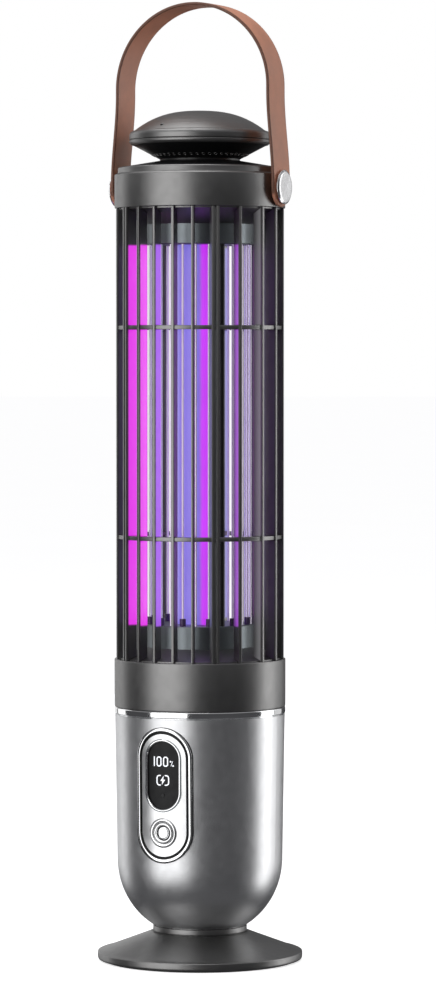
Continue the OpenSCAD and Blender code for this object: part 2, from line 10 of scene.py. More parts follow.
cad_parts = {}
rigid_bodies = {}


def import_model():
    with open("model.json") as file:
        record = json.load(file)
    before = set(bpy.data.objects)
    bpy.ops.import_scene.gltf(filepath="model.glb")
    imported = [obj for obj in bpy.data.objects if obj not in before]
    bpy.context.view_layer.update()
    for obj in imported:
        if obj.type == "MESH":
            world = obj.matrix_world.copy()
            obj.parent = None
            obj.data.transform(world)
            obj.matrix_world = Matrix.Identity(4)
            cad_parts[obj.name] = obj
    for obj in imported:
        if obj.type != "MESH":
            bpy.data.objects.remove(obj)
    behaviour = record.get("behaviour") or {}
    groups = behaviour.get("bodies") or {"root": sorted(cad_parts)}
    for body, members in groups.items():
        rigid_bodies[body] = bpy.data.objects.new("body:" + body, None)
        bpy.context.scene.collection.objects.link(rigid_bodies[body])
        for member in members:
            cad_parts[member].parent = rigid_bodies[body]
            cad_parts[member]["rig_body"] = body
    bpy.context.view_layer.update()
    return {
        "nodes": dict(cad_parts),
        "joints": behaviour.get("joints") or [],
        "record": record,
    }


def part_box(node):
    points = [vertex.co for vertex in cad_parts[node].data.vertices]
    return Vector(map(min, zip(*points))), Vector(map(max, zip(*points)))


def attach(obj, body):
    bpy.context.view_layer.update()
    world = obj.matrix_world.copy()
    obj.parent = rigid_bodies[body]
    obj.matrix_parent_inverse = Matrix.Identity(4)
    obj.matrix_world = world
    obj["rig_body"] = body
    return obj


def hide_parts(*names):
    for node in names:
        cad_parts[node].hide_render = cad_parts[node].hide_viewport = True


MM = 0.001

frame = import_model()
nodes = frame["nodes"]


# ---------------------------------------------------------------- sizes from the frame
BOXES = {node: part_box(node) for node in nodes}


def low(node):
    return BOXES[node][0]


def high(node):
    return BOXES[node][1]


def radius(node):
    """Largest distance from the Z axis, for a round node centred on it."""
    return high(node).x


LIT_Z0 = high("rod_holder_lower").z      # the lamp shows between the two drums
LIT_Z1 = low("rod_holder_upper").z
LIT_EDGE = 1.2 * MM                      # soft end of the painted lit stretch
FIN_R = high("cage_fins").x
FACE_R = FIN_R - 5.8 * MM                # the fins' sides start here
PAINTED_SPILL_R = FIN_R - 1.6 * MM               # the painted lamp light on them fades out from here
STRAP_HALF = high("handle_strap").y

# CAD nodes that get rounded edges, with the radius in millimetres
EASED = {
    "lower_collar": 0.25, "upper_collar": 0.2, "cage_fins": 0.22, "cage_posts": 0.22, "cage_rings": 0.25,
    "panel_bezel": 0.4, "top_plate": 0.15, "usb_cover": 0.2,
}


# ---------------------------------------------------------------- colours
GUNMETAL = (0.25, 0.248, 0.246)
# Painted light on the sides of the fins, as emission colour, over half a turn from the left handle pivot
# round the front to the right one: magenta, violet in the middle, purple, then grey painted daylight. The
# back has the same again.
PAINTED_SPILL = [
    (0.235, (0.01, 0.005, 0.015)), (0.265, (0.74, 0.02, 0.77)), (0.42, (0.74, 0.02, 0.77)),
    (0.455, (0.36, 0.08, 0.76)), (0.54, (0.11, 0.11, 0.48)), (0.62, (0.06, 0.06, 0.30)),
    (0.68, (0.025, 0.045, 0.07)), (0.74, (0.025, 0.045, 0.07)), (0.78, (0.30, 0.04, 0.50)),
    (0.83, (0.26, 0.04, 0.44)), (0.87, (0.125, 0.125, 0.127)), (0.935, (0.125, 0.125, 0.127)),
    (0.965, (0.01, 0.005, 0.015))]
# Colours of the lamp over half a turn from the front: a magenta row of chips, then a blue violet one
LAMP_TONES = [
    (0.13, (0.13, 0.11, 0.52)), (0.175, (0.52, 0.012, 0.80)), (0.325, (0.52, 0.012, 0.80)),
    (0.37, (0.12, 0.11, 0.50)), (0.70, (0.11, 0.09, 0.48)), (0.90, (0.13, 0.11, 0.52))]


# ---------------------------------------------------------------- materials
class Shader:
    """A Principled material under construction: short calls add and link its nodes."""

    def __init__(self, name, color, rough, metal=0.0, **constants):
        self.material = bpy.data.materials.new(name)
        self.material.use_nodes = True
        self.tree = self.material.node_tree
        self.bsdf = self.tree.nodes["Principled BSDF"]
        self.set("Base Color", (*color, 1.0))
        self.set("Roughness", rough)
        self.set("Metallic", metal)
        for socket, value in constants.items():
            self.set(socket.replace("_", " "), value)
        self.place = self.node("ShaderNodeTexCoord").outputs["Object"]

    def set(self, socket, value):
        self.bsdf.inputs[socket].default_value = value

    def node(self, kind, **settings):
        made = self.tree.nodes.new(kind)
        for key, value in settings.items():
            if key in made.inputs:
                made.inputs[key].default_value = value
            else:
                setattr(made, key, value)
        return made

    def link(self, out, into):
        self.tree.links.new(out, into)

    def math(self, operation, first, second=None):
        """One Math node: each operand is a socket or a plain number."""
        made = self.node("ShaderNodeMath", operation=operation)
        for index, value in enumerate((first, second)):
            if isinstance(value, (int, float)):
                made.inputs[index].default_value = value
            elif value is not None:
                self.link(value, made.inputs[index])
        return made.outputs[0]

    def split(self, vector):
        made = self.node("ShaderNodeSeparateXYZ")
        self.link(vector, made.inputs[0])
        return made.outputs

    def stretched(self, scale):
        """Object coordinates scaled per axis, for grain that runs one way."""
        made = self.node("ShaderNodeMapping")
        made.inputs["Scale"].default_value = scale
        self.link(self.place, made.inputs["Vector"])
        return made.outputs["Vector"]

    def noise(self, scale, detail=4.0, rough=0.55, place=None):
        made = self.node("ShaderNodeTexNoise", Scale=scale, Detail=detail, Roughness=rough)
        self.link(place or self.place, made.inputs["Vector"])
        return made.outputs["Fac"]

    def cells(self, scale, feature="F1"):
        made = self.node("ShaderNodeTexVoronoi", feature=feature, Scale=scale)
        self.link(self.place, made.inputs["Vector"])
        return made.outputs["Distance"]

    def ramp(self, value, stops, socket=None):
        """Maps value through colour stops [(position, colour)], into socket if one is named."""
        made = self.node("ShaderNodeValToRGB")
        elements = made.color_ramp.elements
        elements[0].position = stops[0][0]
        elements[1].position = stops[-1][0]
        for position, _ in stops[1:-1]:
            elements.new(position)
        for element, (_, color) in zip(elements, stops):
            element.color = (*color, 1.0)
        self.link(value, made.inputs["Fac"])
        if socket:
            self.link(made.outputs["Color"], self.bsdf.inputs[socket])
        return made.outputs["Color"]

    def span(self, value, ends, result, socket=None):
        """Maps value from one pair of ends to another, smoothly and clamped."""
        made = self.node("ShaderNodeMapRange", interpolation_type="SMOOTHSTEP")
        for index, number in enumerate((*ends, *result), start=1):
            made.inputs[index].default_value = number
        self.link(value, made.inputs[0])
        if socket:
            self.link(made.outputs[0], self.bsdf.inputs[socket])
        return made.outputs[0]

    def blend(self, factor, first, second, socket=None):
        """Mixes two colours, each a socket or a plain colour, by a factor."""
        made = self.node("ShaderNodeMix", data_type="RGBA")
        self.link(factor, made.inputs[0])
        for index, color in ((6, first), (7, second)):
            if isinstance(color, tuple):
                made.inputs[index].default_value = (*color, 1.0)
            else:
                self.link(color, made.inputs[index])
        if socket:
            self.link(made.outputs[2], self.bsdf.inputs[socket])
        return made.outputs[2]

    def bump(self, height, strength, distance):
        made = self.node("ShaderNodeBump", Strength=strength, Distance=distance)
        self.link(height, made.inputs["Height"])
        self.link(made.outputs["Normal"], self.bsdf.inputs["Normal"])


def tint(color, factor):
    return tuple(min(1.0, c * factor) for c in color)


def anodised(name, color, rough):
    """Bead-blasted, dyed metal: fine grain in the bump, faint mottling in colour and gloss."""
    mat = Shader(name, color, rough, metal=1.0)
    mat.ramp(mat.noise(90, 4), [(0.3, tint(color, 0.97)), (0.7, tint(color, 1.03))], "Base Color")
    mat.span(mat.noise(260, 5), (0.3, 0.7), (rough - 0.02, rough + 0.03), "Roughness")
    mat.bump(mat.noise(6500, 2), 0.06, 0.00003)
    return mat.material


def polished(name, color, rough, grain=(1, 1, 6)):
    """Plated or brushed metal, its faint marks drawn out by the scale in grain."""
    mat = Shader(name, color, rough, metal=1.0)
    marks = mat.noise(160, 5, place=mat.stretched(grain))
    mat.ramp(mat.noise(35, 2), [(0.3, tint(color, 0.98)), (0.7, tint(color, 1.01))], "Base Color")
    mat.span(marks, (0.3, 0.7), (rough * 0.75, rough * 1.4), "Roughness")
    mat.bump(marks, 0.05, 0.00004)
    return mat.material


def moulded(name, color, rough, grain=2600, depth=0.00003, **constants):
    """Moulded plastic or rubber: spark-eroded texture and slight gloss changes."""
    mat = Shader(name, color, rough, **constants)
    mat.ramp(mat.noise(45, 3), [(0.3, tint(color, 0.88)), (0.7, tint(color, 1.12))], "Base Color")
    mat.span(mat.noise(300, 4), (0.3, 0.7), (max(0.03, rough - 0.05), rough + 0.07), "Roughness")
    mat.bump(mat.noise(grain, 3), 0.25, depth)
    return mat.material


def glowing(name, color, strength, edge):
    """A lit surface whose colour drifts between two tones."""
    mat = Shader(name, tint(color, 0.6), 0.35)
    tone = mat.ramp(mat.noise(9, 2), [(0.3, edge), (0.7, color)])
    mat.link(tone, mat.bsdf.inputs["Emission Color"])
    mat.set("Emission Strength", strength)
    return mat.material


def around(mat):
    """Angle about the Z axis from the front, 0 to 1 for a full turn, distance from it, and height."""
    x, y, z = mat.split(mat.place)
    angle = mat.math("ARCTAN2", x, mat.math("MULTIPLY", y, -1.0))
    reach = mat.math("SQRT", mat.math("ADD", mat.math("MULTIPLY", x, x), mat.math("MULTIPLY", y, y)))
    return mat.math("DIVIDE", angle, math.tau), reach, z


def half_turns(mat, turn, start):
    """Runs from 0 to 1 over each half turn, starting at an angle given in turns."""
    return mat.math("FRACT", mat.math("MULTIPLY", mat.math("ADD", turn, start), 2.0))


def painted_spill_height(mat, half, z):
    """Mask of the painted light: 1 between the two drums, and at every height in the last stretch, where
    grey daylight is painted.
    """
    above = mat.span(z, (LIT_Z0, LIT_Z0 + LIT_EDGE), (0, 1))
    below = mat.span(z, (LIT_Z1 - LIT_EDGE, LIT_Z1), (1, 0))
    # painted daylight: grey emission over the full height in this stretch
    daylight = mat.span(half, (0.85, 0.87), (0, 1))
    return mat.math("MAXIMUM", mat.math("MULTIPLY", above, below), daylight)


def painted_spill_depth(mat, half, reach):
    """Mask of the painted light: 1 on the sides of the fins, weaker inwards on the second quarter turn,
    and 0 on their edges.
    """
    outer = mat.span(reach, (PAINTED_SPILL_R, PAINTED_SPILL_R + 0.9 * MM), (1, 0))
    inner = mat.span(reach, (FACE_R - 0.4 * MM, FACE_R - 0.1 * MM), (0, 1))
    fade = mat.span(reach, (FACE_R, PAINTED_SPILL_R), (0.25, 1))
    fade = mat.math("MAXIMUM", fade, mat.span(half, (0.48, 0.52), (1, 0)))
    return mat.math("MULTIPLY", mat.math("MULTIPLY", outer, inner), fade)


def painted_spill_side(mat, half, reach):
    """Mask of the painted light: 1 on the side of a fin that shows from the front, or from straight
    behind, and 0 on the other.
    """
    x, y, _ = mat.split(mat.place)
    nx, ny, _ = mat.split(mat.node("ShaderNodeNewGeometry").outputs["True Normal"])
    across = mat.math("SUBTRACT", mat.math("MULTIPLY", ny, x), mat.math("MULTIPLY", nx, y))
    sign = mat.span(half, (0.49, 0.51), (1, -1))
    return mat.span(mat.math("MULTIPLY", mat.math("DIVIDE", across, reach), sign), (0.55, 0.9), (0, 1))


def cage_metal():
    """Dyed metal of the cage, with the lamp's violet light on the fins' sides painted in as emission."""
    mat = Shader("cage_metal", GUNMETAL, 0.36, metal=0.9)
    mottle = [(0.3, tint(GUNMETAL, 0.96)), (0.7, tint(GUNMETAL, 1.04))]
    mat.ramp(mat.noise(90, 4), mottle, "Base Color")
    mat.span(mat.noise(260, 5), (0.3, 0.7), (0.34, 0.40), "Roughness")
    mat.bump(mat.noise(6500, 2), 0.06, 0.00003)
    turn, reach, z = around(mat)
    half = half_turns(mat, turn, 1.25)
    # Painted light: emission colour and strength stand in for the lamp's light and daylight on the fins.
    mat.link(mat.ramp(half, PAINTED_SPILL), mat.bsdf.inputs["Emission Color"])
    glow = mat.math("MULTIPLY", painted_spill_height(mat, half, z), painted_spill_depth(mat, half, reach))
    glow = mat.math("MULTIPLY", glow, painted_spill_side(mat, half, reach))
    mat.link(glow, mat.bsdf.inputs["Emission Strength"])
    return mat.material


def lamp_glass():
    """Frosted tube over rows of chips, magenta and blue violet by turns."""
    mat = Shader("lamp_diffuser", (0.3, 0.2, 0.5), 0.3)
    turn, _, _ = around(mat)
    row = half_turns(mat, turn, 2.0)
    ripple = mat.math("MULTIPLY", mat.math("SUBTRACT", mat.noise(60, 2), 0.5), 0.03)
    tone = mat.ramp(mat.math("ADD", row, ripple), LAMP_TONES)
    mat.link(tone, mat.bsdf.inputs["Emission Color"])
    mat.span(mat.noise(40, 3), (0.3, 0.7), (0.92, 1.05), "Emission Strength")
    mat.bump(mat.noise(3000, 2), 0.1, 0.00003)
    return mat.material


def rod_steel():
    """Bright drawn wire, with a faint painted glow of the lamp's light along its length, as emission."""
    color = (0.84, 0.80, 0.87)
    mat = Shader("rod_steel", color, 0.32, metal=1.0)
    mat.ramp(mat.noise(60, 3), [(0.3, tint(color, 0.96)), (0.7, color)], "Base Color")
    marks = mat.noise(120, 4, place=mat.stretched((1, 1, 0.1)))
    mat.span(marks, (0.3, 0.7), (0.30, 0.35), "Roughness")
    # Painted light: a faint violet emission stands in for the lamp's light on the wire.
    tone = mat.ramp(mat.noise(20, 2), [(0.3, (0.60, 0.44, 0.85)), (0.7, (0.72, 0.55, 0.92))])
    mat.link(tone, mat.bsdf.inputs["Emission Color"])
    mat.set("Emission Strength", 0.16)
    return mat.material


def leather():
    """Smooth tan leather: pebbled grain, dark pores, worn patches and darker painted edges."""
    color = (0.72, 0.32, 0.205)
    mat = Shader("tan_leather", color, 0.48, Specular_IOR_Level=0.42)
    patches = mat.noise(38, 5, 0.6)
    body = mat.ramp(patches, [(0.3, tint(color, 0.84)), (0.7, tint(color, 1.16))])
    pores = mat.span(mat.cells(1500), (0.0, 0.25), (0.35, 0.0))
    body = mat.blend(pores, body, tint(color, 0.5))
    _, y, _ = mat.split(mat.place)
    paint = (STRAP_HALF - 1.1 * MM, STRAP_HALF - 0.4 * MM)
    edge = mat.span(mat.math("ABSOLUTE", y), paint, (0, 1))
    mat.blend(edge, body, tint(color, 0.28), "Base Color")
    mat.span(patches, (0.3, 0.7), (0.42, 0.56), "Roughness")
    pebbles = mat.cells(900, "SMOOTH_F1")
    grain = mat.math("ADD", pebbles, mat.math("MULTIPLY", mat.noise(420, 6), 0.8))
    mat.bump(grain, 0.35, 0.00012)
    return mat.material


MATERIALS = {
    "dark_metal": anodised("dark_metal", GUNMETAL, 0.40),
    "cage_metal": cage_metal(),
    "satin_silver": anodised("satin_silver", (0.74, 0.745, 0.755), 0.38),
    "panel_silver": anodised("panel_silver", (0.80, 0.805, 0.81), 0.30),
    "bright_trim": polished("bright_trim", (0.90, 0.905, 0.91), 0.10),
    "button_silver": polished("button_silver", (0.88, 0.885, 0.89), 0.12),
    "brushed_snap": polished("brushed_snap", (0.80, 0.80, 0.81), 0.22, grain=(1, 12, 1)),
    "steel_hardware": polished("steel_hardware", (0.62, 0.62, 0.64), 0.28),
    "rod_steel": rod_steel(),
    "contact_brass": polished("contact_brass", (0.80, 0.58, 0.25), 0.25),
    "holder_plastic": anodised("holder_plastic", (0.23, 0.255, 0.27), 0.40),
    "black_plastic": moulded("black_plastic", (0.010, 0.010, 0.011), 0.38),
    "cradle_plastic": moulded("cradle_plastic", (0.03, 0.03, 0.034), 0.5),
    "insulator": moulded("insulator", (0.10, 0.06, 0.16), 0.25),
    "potted_module": moulded("potted_module", (0.012, 0.012, 0.015), 0.3, grain=500),
    "sensor_black": moulded("sensor_black", (0.003, 0.003, 0.003), 0.6, Specular_IOR_Level=0.2),
    "nylon_washer": moulded("nylon_washer", (0.02, 0.02, 0.021), 0.45),
    "lamp_board_white": moulded("lamp_board_white", (0.8, 0.8, 0.79), 0.5),
    "lamp_light": glowing("lamp_light", (0.75, 0.45, 1.0), 3.0, (0.6, 0.3, 1.0)),
    "lamp_diffuser": lamp_glass(),
    "circuit_board": moulded("circuit_board", (0.012, 0.09, 0.04), 0.35, grain=900),
    "cell_wrap": moulded("cell_wrap", (0.03, 0.12, 0.28), 0.3, grain=800),
    "display_black": moulded("display_black", (0.010, 0.010, 0.011), 0.35, grain=4000, depth=0.000004,
                             Specular_IOR_Level=0.22),
    "display_white": glowing("display_white", (0.95, 0.97, 1.0), 1.0, (0.9, 0.93, 1.0)),
    "black_rubber": moulded("black_rubber", (0.012, 0.012, 0.012), 0.6, grain=1500),
    "soft_cover": moulded("soft_cover", (0.03, 0.03, 0.032), 0.62, grain=1800),
    "tan_leather": leather(),
}
SLOTS = {row["node"]: row["material_slot"] for row in frame["record"]["subparts"]}

for node, slot in SLOTS.items():
    mesh = nodes[node].data
    mesh.materials.clear()
    mesh.materials.append(MATERIALS[slot])


# ---------------------------------------------------------------- making pieces
def finished(name, made, body, slot, replaced, crease=38):
    """Turns a bmesh into a shaded piece that rides on a body and stands for CAD nodes."""
    bmesh.ops.recalc_face_normals(made, faces=made.faces)
    for face in made.faces:
        face.smooth = True
    for edge in made.edges:
        edge.smooth = len(edge.link_faces) == 2 and edge.calc_face_angle() < math.radians(crease)
    mesh = bpy.data.meshes.new(name)
    made.to_mesh(mesh)
    made.free()
    mesh.materials.append(MATERIALS[slot])
    piece = bpy.data.objects.new(name, mesh)
    bpy.context.scene.collection.objects.link(piece)
    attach(piece, body)
    if replaced:
        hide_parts(*replaced)


def round_edges(made, angle, width, steps):
    """Bevels every edge that is sharper than an angle."""
    hard = [e for e in made.edges if len(e.link_faces) == 2 and e.calc_face_angle() > angle]
    bmesh.ops.bevel(made, geom=hard, offset=width, offset_type="OFFSET", segments=steps,
                    profile=0.5, affect="EDGES", clamp_overlap=False)


def eased(node, width):
    """A copy of a CAD node whose hard edges are rounded, as real edges are."""
    made = bmesh.new()
    made.from_mesh(nodes[node].data)
    bmesh.ops.remove_doubles(made, verts=made.verts, dist=0.002 * MM)
    bmesh.ops.dissolve_limit(made, angle_limit=math.radians(0.2), verts=made.verts, edges=made.edges)
    round_edges(made, math.radians(28), width, 2)
    finished(node + "_eased", made, nodes[node]["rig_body"], SLOTS[node], (node,))


def rounded(points, size):
    """A closed outline (r, z[, radius]) with each corner turned into a small arc."""
    steps = 5
    result = []
    for index, point in enumerate(points):
        here = Vector(point[:2])
        own = point[2] if len(point) > 2 else size
        before = Vector(points[index - 1][:2]) - here
        after = Vector(points[(index + 1) % len(points)][:2]) - here
        reach = min(own, 0.45 * before.length, 0.45 * after.length)
        if reach < 0.01 * MM:
            result.append(here)
            continue
        start = here + before.normalized() * reach
        end = here + after.normalized() * reach
        for step in range(steps + 1):
            t = step / steps
            result.append(start * (1 - t) ** 2 + here * 2 * t * (1 - t) + end * t * t)
    return result


def bridge(made, rings, count):
    """Faces from each ring of vertices to the next and back to the first; a pole is a ring of one."""
    for first, second in zip(rings, rings[1:] + rings[:1]):
        if len(first) == 1 and len(second) == 1:
            continue
        for k in range(count):
            corners = (first[k % len(first)], first[(k + 1) % len(first)],
                       second[(k + 1) % len(second)], second[k % len(second)])
            made.faces.new(list(dict.fromkeys(corners)))


def lathe(made, outline, place=Matrix(), segments=160):
    """Turns a closed outline (r, z) about Z and sets it in place. A point on the axis is one vertex."""
    rings = []
    for r, z in outline:
        count = 1 if r < 0.001 * MM else segments
        angles = [math.tau * k / segments for k in range(count)]
        ring = [Vector((r * math.cos(a), r * math.sin(a), z)) for a in angles]
        rings.append([made.verts.new(place @ point) for point in ring])
    bridge(made, rings, segments)


def turned(name, node, outline, size, segments=160):
    """A round piece about the Z axis that stands for a CAD node."""
    made = bmesh.new()
    lathe(made, rounded(outline, size), segments=segments)
    finished(name, made, nodes[node]["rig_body"], SLOTS[node], (node,))


# ---------------------------------------------------------------- foot, neck, trim ring and cap rim
def make_foot():
    """The foot: a low cone with a thin rim, and a round channel below for its rubber pad."""
    base, top = low("base_foot").z, high("base_foot").z
    wide = radius("base_foot")
    rim = 4.5 * MM
    cone = radius("neck_ring") + 1.1 * MM
    pad_in, pad_out = 37.9 * MM, radius("foot_pad") + 0.05 * MM
    pad_top = high("foot_pad").z
    turned("foot_disc", "base_foot", [
        (0, base), (pad_in, base), (pad_in, pad_top), (pad_out, pad_top), (pad_out, base),
        (wide - 0.4 * MM, base, 0.4 * MM), (wide, base + 0.9 * MM, 0.5 * MM), (wide, rim, 0.5 * MM),
        (wide - 2.6 * MM, rim + 0.55 * MM, 1.5 * MM), (cone + 4 * MM, top - 1.6 * MM, 6 * MM),
        (cone, top, 0.5 * MM), (0, top)], 0.3 * MM)


def make_neck():
    """The ring between foot and body, stepped in at both ends."""
    bottom, top = low("neck_ring").z, high("neck_ring").z
    wide = radius("neck_ring")
    bore = 6 * MM
    turned("neck_collar", "neck_ring", [
        (bore, bottom), (wide - 0.5 * MM, bottom), (wide - 0.5 * MM, bottom + 0.45 * MM),
        (wide, bottom + 0.6 * MM), (wide, top - 0.6 * MM), (wide - 0.6 * MM, top - 0.45 * MM),
        (wide - 0.6 * MM, top), (bore, top)], 0.25 * MM)


def make_trim():
    """The polished ring above the body, with a softened lip."""
    bottom, top = low("trim_ring").z, high("trim_ring").z
    wide = radius("trim_ring")
    inner = wide - 2.2 * MM
    turned("trim_band", "trim_ring", [
        (inner, bottom), (wide - 0.7 * MM, bottom), (wide - 0.7 * MM, bottom + 0.45 * MM, 0.1 * MM),
        (wide, bottom + 0.75 * MM, 0.4 * MM), (wide, top - 0.45 * MM, 0.4 * MM),
        (wide - 0.5 * MM, top), (inner, top)], 0.2 * MM)


def make_rim():
    """The cap's rim: a round edge with a fine groove outside, and a ledge inside for the dome."""
    bottom, top = low("cap_rim").z, high("cap_rim").z
    wide = radius("cap_rim")
    groove = bottom + 2.5 * MM
    bore, seat = 29.8 * MM, 31 * MM
    ledge = bottom + 1.6 * MM
    turned("rim_ring", "cap_rim", [
        (bore, bottom), (wide - 1.1 * MM, bottom, 0.5 * MM), (wide, bottom + 1.3 * MM, 1.2 * MM),
        (wide, groove - 0.3 * MM, 0.25 * MM), (wide - 0.6 * MM, groove, 0.15 * MM),
        (wide, groove + 0.3 * MM, 0.25 * MM), (wide, top - 1.7 * MM, 1.2 * MM),
        (wide - 0.9 * MM, top - 0.4 * MM, 0.8 * MM), (wide - 2.2 * MM, top, 0.4 * MM),
        (seat, top, 0.1 * MM), (seat, ledge), (bore, ledge)], 0.3 * MM, segments=200)


# ---------------------------------------------------------------- strap and snaps
PIVOT_Z = [j for j in frame["joints"] if j["name"] == "handle_swing"][0]["pos_m"][2]
STRAP_T = 1.6 * MM
ARCH_R = 41.2 * MM - STRAP_T / 2      # radius of the arch's middle line
LEG = high("handle_strap").z - ARCH_R - STRAP_T / 2 - PIVOT_Z
STRAP_LENGTH = 2 * LEG + ARCH_R * math.pi
FLARE = (2 * MM, 46 * MM)             # stretch above the pivot over which a leg leans inwards
HOLE_R = high("strap_eyelets").z - PIVOT_Z - 1.15 * MM    # the eyelet's flange covers the hole's edge


def strap_place(s, y, out):
    """Where a point of the flat band goes: s along it from the right pivot, out from its middle layer."""
    side = 1
    if s > STRAP_LENGTH / 2:
        s = STRAP_LENGTH - s
        side = -1
    if s > LEG:
        angle = (s - LEG) / ARCH_R
        reach = ARCH_R + out
        return Vector((side * reach * math.cos(angle), y, PIVOT_Z + LEG + reach * math.sin(angle)))
    t = max(0.0, min(1.0, (s - FLARE[0]) / (FLARE[1] - FLARE[0])))
    spread = high("handle_strap").x - STRAP_T / 2 - ARCH_R
    x = ARCH_R + spread * (1 - t * t * (3 - 2 * t))
    tilt = -spread * 6 * t * (1 - t) / (FLARE[1] - FLARE[0])
    normal = Vector((1, 0, -tilt)).normalized() * out
    return Vector((side * (x + normal.x), y, PIVOT_Z + s + normal.z))


def end_ring(count, reach, square):
    """Points about a hole: a circle, or the band's own outline with a square side along its length."""
    for k in range(count):
        angle = math.tau * k / count
        along, across = math.cos(angle), math.sin(angle)
        grow = 1 / max(abs(along), abs(across)) if square and along > 0 else 1
        yield reach * along * grow, reach * across * grow


def strap_layer(made, out):
    """One flat layer of the band: rings of faces about both holes, and rows of faces between them."""
    count = 24
    sizes = ((HOLE_R, False), (STRAP_HALF * 0.68, True), (STRAP_HALF, True))
    ends = []
    for flip, start in ((1, 0.0), (-1, STRAP_LENGTH)):
        rings = [[made.verts.new((start + flip * s, y, out)) for s, y in end_ring(count, reach, square)]
                 for reach, square in sizes]
        for inner, outer in zip(rings, rings[1:]):
            for k in range(count):
                n = (k + 1) % count
                made.faces.new((inner[k], inner[n], outer[n], outer[k]))
        ends.append(rings[-1])
    eighth = count // 8
    first, last = [[ring[k % count] for k in range(-eighth, eighth + 1)] for ring in ends]
    steps = 110
    rows = [first]
    for n in range(1, steps):
        s = STRAP_HALF + (STRAP_LENGTH - 2 * STRAP_HALF) * n / steps
        rows.append([made.verts.new((s, v.co.y, out)) for v in first])
    rows.append(last)
    for row, following in zip(rows, rows[1:]):
        for k in range(len(first) - 1):
            made.faces.new((row[k], row[k + 1], following[k + 1], following[k]))


def close_walls(made):
    """Joins each open edge of the lower layer with the edge straight across in the upper one."""
    upper = {(round(v.co.x, 7), round(v.co.y, 7)): v for v in made.verts if v.co.z > 0}
    lower = [e for e in made.edges if len(e.link_faces) == 1 and e.verts[0].co.z < 0]
    for a, b in [edge.verts for edge in lower]:
        across = [upper[round(v.co.x, 7), round(v.co.y, 7)] for v in (b, a)]
        made.faces.new((a, b, *across))


def make_strap():
    """The leather band: laid out flat with its holes, edges rounded, then bent over the arch."""
    made = bmesh.new()
    for out in (-STRAP_T / 2, STRAP_T / 2):
        strap_layer(made, out)
    bmesh.ops.recalc_face_normals(made, faces=made.faces)
    close_walls(made)
    bmesh.ops.recalc_face_normals(made, faces=made.faces)
    round_edges(made, 1.0, 0.55 * MM, 4)
    swell = 0.10                      # how much thicker the band is along its middle
    for vert in made.verts:
        s, y, out = vert.co
        crown = 1 + swell * (1 - min(1.0, abs(y) / STRAP_HALF) ** 2)
        vert.co = strap_place(s, y, out * crown / (1 + swell))
    finished("leather_strap", made, "handle", "tan_leather", ("handle_strap",), crease=60)


def make_snaps():
    """Both snap heads: a shallow dish inside a bevelled edge, turned about the pivot axis."""
    wide = high("strap_snaps").z - PIVOT_Z
    face = high("strap_snaps").x
    back = 44.6 * MM
    outline = [
        (0, back), (wide - 0.3 * MM, back), (wide, back + 0.4 * MM), (wide, back + 0.7 * MM),
        (wide - 1.1 * MM, face - 0.12 * MM, 0.25 * MM), (wide - 2.2 * MM, face, 0.5 * MM),
        (wide - 4.2 * MM, face - 0.05 * MM, 1 * MM), (0, face - 0.10 * MM)]
    made = bmesh.new()
    for turn in (90, -90):
        place = Matrix.Translation((0, 0, PIVOT_Z)) @ Matrix.Rotation(math.radians(turn), 4, "Y")
        lathe(made, rounded(outline, 0.2 * MM), place, segments=96)
    finished("snap_heads", made, "zapper", "brushed_snap", ("strap_snaps",), crease=50)


# ---------------------------------------------------------------- panel
BUTTON_Z = (low("power_button").z + high("power_button").z) / 2


def on_button(name, body, slot, replaced, outline):
    """A round piece whose axis points out of the panel along -Y, through the button's middle."""
    made = bmesh.new()
    place = Matrix.Translation((0, 0, BUTTON_Z)) @ Matrix.Rotation(math.radians(90), 4, "X")
    lathe(made, outline, place, segments=96)
    finished(name, made, body, slot, replaced, crease=50)


def make_button():
    """The button: a raised rim, a round groove with a dark floor, and a domed middle."""
    front, back = -low("power_button").y, -high("power_button").y
    wide = high("power_button").x
    stem = 1.4 * MM
    flange = back + 1.0 * MM
    floor = front - 0.75 * MM
    ditch = 3.5 * MM
    cap = [
        (0, back), (stem, back), (stem, flange), (wide, flange),
        (wide, front - 0.35 * MM), (wide - 0.5 * MM, front - 0.05 * MM, 0.3 * MM),
        (wide - 1.1 * MM, front - 0.15 * MM, 0.3 * MM), (ditch, floor, 0.2 * MM),
        (ditch - 0.4 * MM, floor, 0.2 * MM), (ditch - 0.8 * MM, front - 0.22 * MM, 0.5 * MM),
        (1.5 * MM, front - 0.02 * MM, 0.7 * MM), (0, front)]
    on_button("button_cap", "power_button", "button_silver", ("power_button",), rounded(cap, 0.15 * MM))
    inner = 2.62 * MM
    under, over = floor - 0.1 * MM, floor + 0.12 * MM
    ring = [(inner, under), (ditch, under), (ditch, over), (inner, over)]
    on_button("button_groove", "power_button", "black_rubber", (), ring)


def make_button_ring():
    """The bright ring about the button, stepped down on both sides of its crest."""
    front, back = -low("button_ring").y, -high("button_ring").y
    wide = high("button_ring").x
    inner = wide - 1.95 * MM
    ring = [
        (inner, back), (wide, back), (wide, front - 0.85 * MM, 0.3 * MM),
        (wide - 0.35 * MM, front - 0.25 * MM, 0.3 * MM), (wide - 0.9 * MM, front, 0.4 * MM),
        (inner + 0.35 * MM, front - 0.2 * MM, 0.3 * MM), (inner, front - 0.6 * MM, 0.2 * MM)]
    on_button("button_surround", "zapper", "bright_trim", ("button_ring",), rounded(ring, 0.15 * MM))


def in_mm(points, z=0.0):
    """Points given in millimetres, raised to a height z."""
    return [(a * MM, z + b * MM) for a, b in points]


def on_cylinder(x, z, reach):
    """The point of a cylinder about the Z axis that lies in front of (x, z)."""
    return x, -math.sqrt(reach ** 2 - x * x), z


